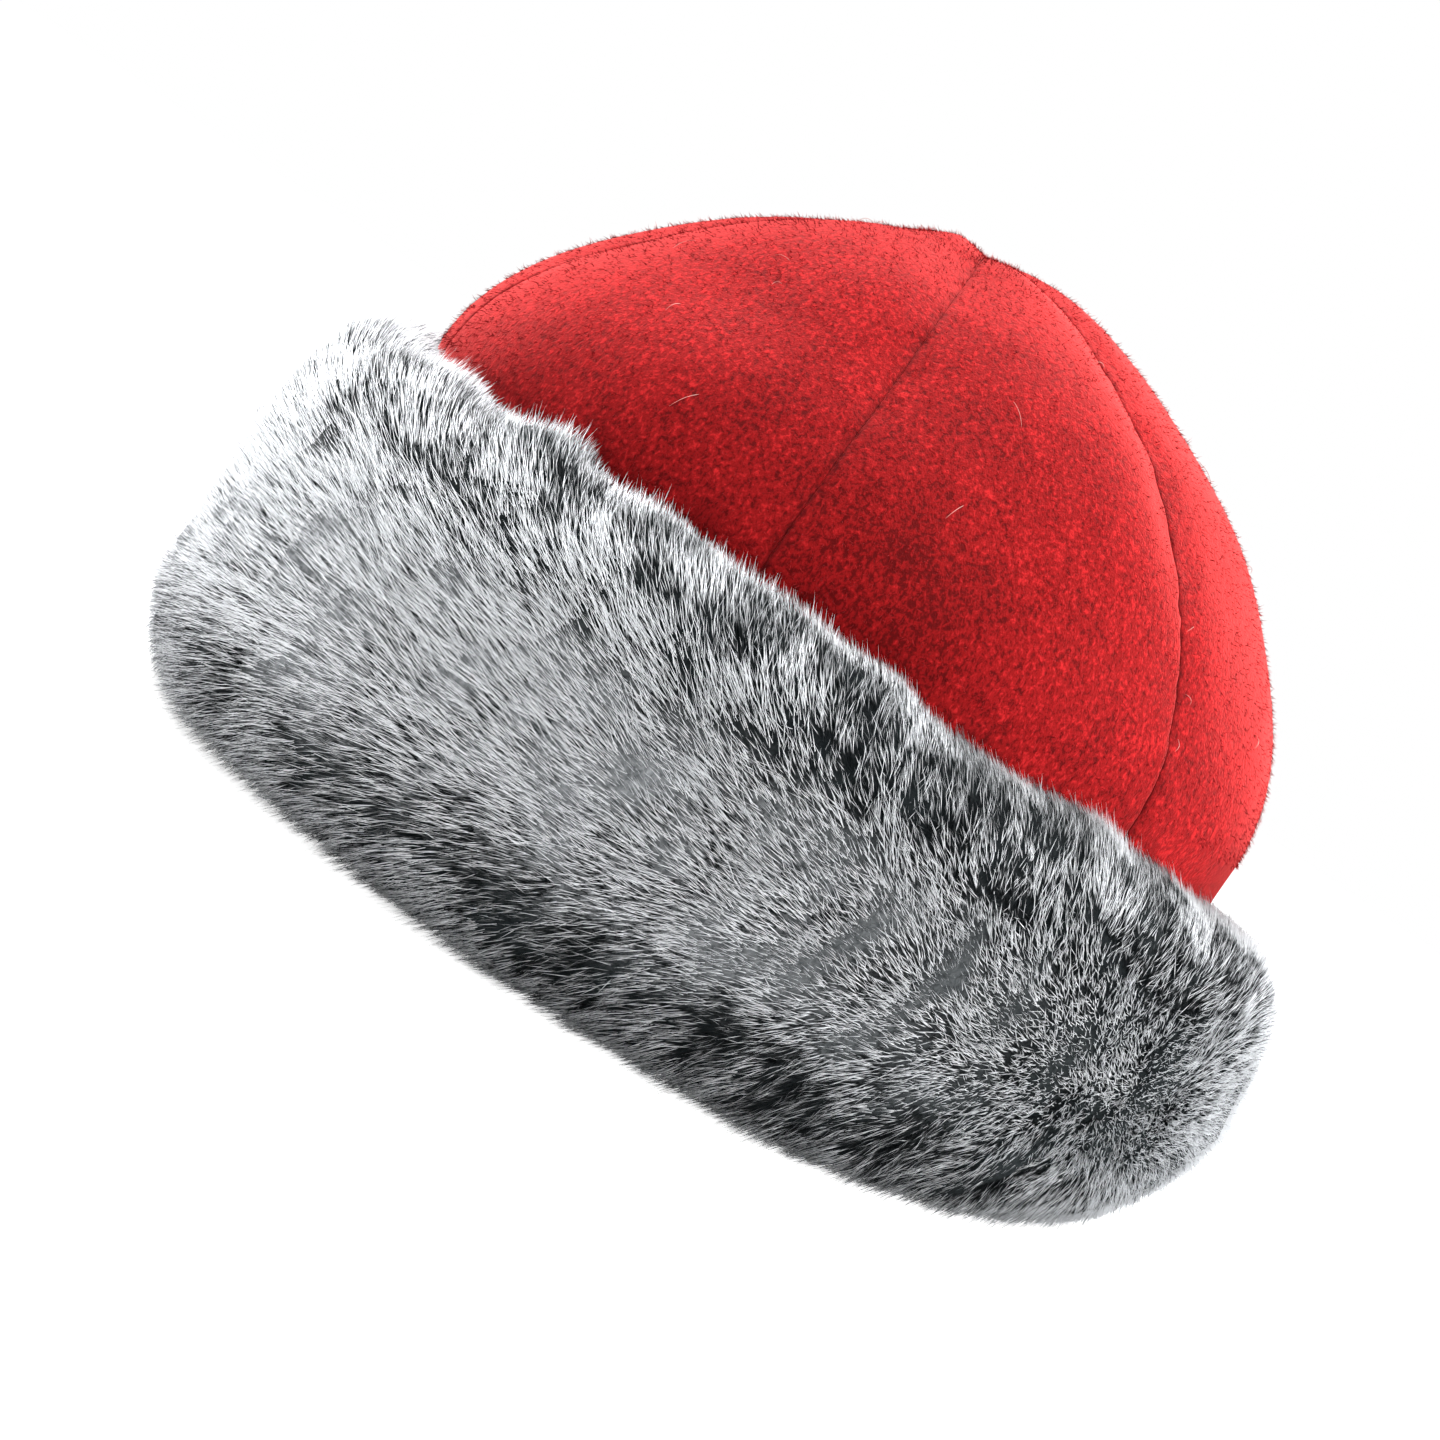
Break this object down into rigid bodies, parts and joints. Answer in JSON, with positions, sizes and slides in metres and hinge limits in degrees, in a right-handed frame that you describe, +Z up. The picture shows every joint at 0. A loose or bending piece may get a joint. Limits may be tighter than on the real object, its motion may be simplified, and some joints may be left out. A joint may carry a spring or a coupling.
{
  "type": "fur-cuffed wool cap",
  "caption": "Warm winter hat: a round felted red wool crown sewn from panels, with a deep grey fur cuff turned up all round the rim.",
  "frame": {"origin": "on the floor under the middle of the hat's bounding box, at the level of the fur cuff's resting edge", "axes": "+Z up through the crown; +X towards the back of the head, so the wearer faces -X; +Y towards the wearer's right"},
  "size_m": [0.2586, 0.2218, 0.165],
  "materials": {
    "red_wool": "matt felted wool with a short fuzzy nap, mottled from dark to bright red",
    "grey_fur": "long soft pile, near-black blue-green grey at the roots and silver at the tips"
  },
  "bodies": {
    "root": {"crown_panel_right_back": "red_wool", "crown_panel_right_side": "red_wool", "crown_panel_right_front": "red_wool", "crown_panel_left_front": "red_wool", "crown_panel_left_side": "red_wool", "crown_panel_left_back": "red_wool", "fur_cuff": "grey_fur"}
  },
  "joints": []
}
